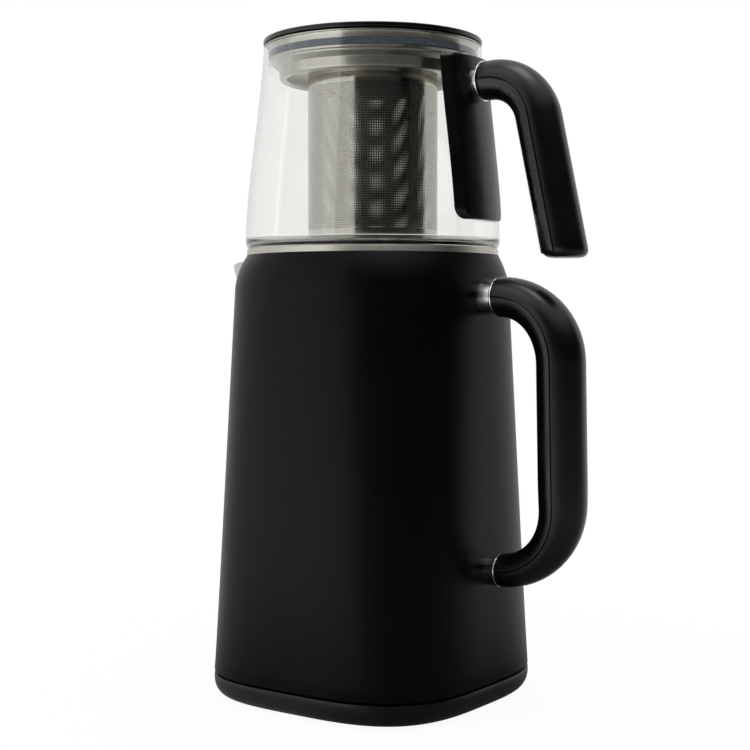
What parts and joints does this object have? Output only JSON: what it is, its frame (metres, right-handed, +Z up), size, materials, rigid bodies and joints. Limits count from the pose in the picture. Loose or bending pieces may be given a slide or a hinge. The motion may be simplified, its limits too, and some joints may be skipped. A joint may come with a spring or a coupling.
{
  "type": "automatic tea maker",
  "caption": "Two-tier automatic tea maker: electric kettle on a low power base, with a glass teapot, steel infuser and knobbed lid stacked on top.",
  "frame": {"origin": "on the vertical axis of the kettle, in the flat underside of the power base's bottom cover, 1.2 mm above the table", "axes": "+Z up along the stack, +X towards both handles, -X towards the spout, +Y towards the wall with the two buttons"},
  "size_m": [0.234, 0.1576, 0.3716],
  "materials": {
    "coated_body": "matte powder coat",
    "black_plastic": "satin black moulding",
    "dark_plastic": "plain dark moulding",
    "chrome_trim": "bright plated",
    "stainless_steel": "warm grey stainless steel",
    "clear_glass": "clear blown glass",
    "silicone_seal": "grey-blue silicone",
    "black_rubber": "dull",
    "aluminium_plate": "plain cast",
    "light_window": "milky light pipe",
    "circuit_board": "green board"
  },
  "bodies": {
    "base": {"power_base_housing": "black_plastic", "power_base_bottom_cover": "dark_plastic", "base_connector": "dark_plastic", "status_light": "light_window", "switch_board": "circuit_board", "cord_gland": "black_rubber", "base_foot_1": "black_rubber", "base_foot_2": "black_rubber", "base_foot_3": "black_rubber", "base_foot_4": "black_rubber"},
    "boil_key": {"boil_button": "black_plastic"},
    "keep_warm_key": {"keep_warm_button": "black_plastic"},
    "kettle": {"kettle_body_shell": "coated_body", "kettle_base_cover": "dark_plastic", "kettle_coupler": "dark_plastic", "thermostat": "dark_plastic", "heating_plate": "aluminium_plate", "kettle_inner_vessel": "stainless_steel", "kettle_rim_ring": "stainless_steel", "spout": "stainless_steel", "spout_strainer": "stainless_steel", "kettle_handle_outer_shell": "black_plastic", "kettle_handle_inner_shell": "black_plastic", "kettle_handle_upper_ferrule": "chrome_trim", "kettle_handle_lower_ferrule": "chrome_trim", "kettle_handle_upper_screw": "stainless_steel", "kettle_handle_lower_screw": "stainless_steel"},
    "teapot": {"teapot_glass": "clear_glass", "teapot_handle_bracket": "black_plastic", "teapot_handle_neck": "chrome_trim", "teapot_handle_end_ring": "chrome_trim", "teapot_bracket_screw": "stainless_steel", "teapot_handle_outer_shell": "black_plastic", "teapot_handle_inner_shell": "black_plastic"},
    "infuser": {"infuser_rim": "stainless_steel", "infuser_seal": "silicone_seal", "infuser_mesh": "stainless_steel", "infuser_base_cup": "stainless_steel"},
    "lid": {"lid_plate": "black_plastic", "lid_plug": "dark_plastic", "lid_gasket": "silicone_seal", "lid_knob": "black_plastic", "lid_knob_screw": "stainless_steel"}
  },
  "joints": [
    {"name": "kettle_lift", "type": "slide", "parent": "base", "child": "kettle", "axis": [0, 0, 1], "range_m": [0, 0.06]},
    {"name": "teapot_lift", "type": "slide", "parent": "kettle", "child": "teapot", "axis": [0, 0, 1], "range_m": [0, 0.07]},
    {"name": "infuser_lift", "type": "slide", "parent": "teapot", "child": "infuser", "axis": [0, 0, 1], "range_m": [0, 0.12]},
    {"name": "lid_lift", "type": "slide", "parent": "infuser", "child": "lid", "axis": [0, 0, 1], "range_m": [0, 0.05]},
    {"name": "boil_press", "type": "slide", "parent": "base", "child": "boil_key", "axis": [0, -1, 0], "range_m": [0, 0.0015], "stiffness_N_per_m": 500},
    {"name": "keep_warm_press", "type": "slide", "parent": "base", "child": "keep_warm_key", "axis": [0, -1, 0], "range_m": [0, 0.0015], "stiffness_N_per_m": 500}
  ]
}
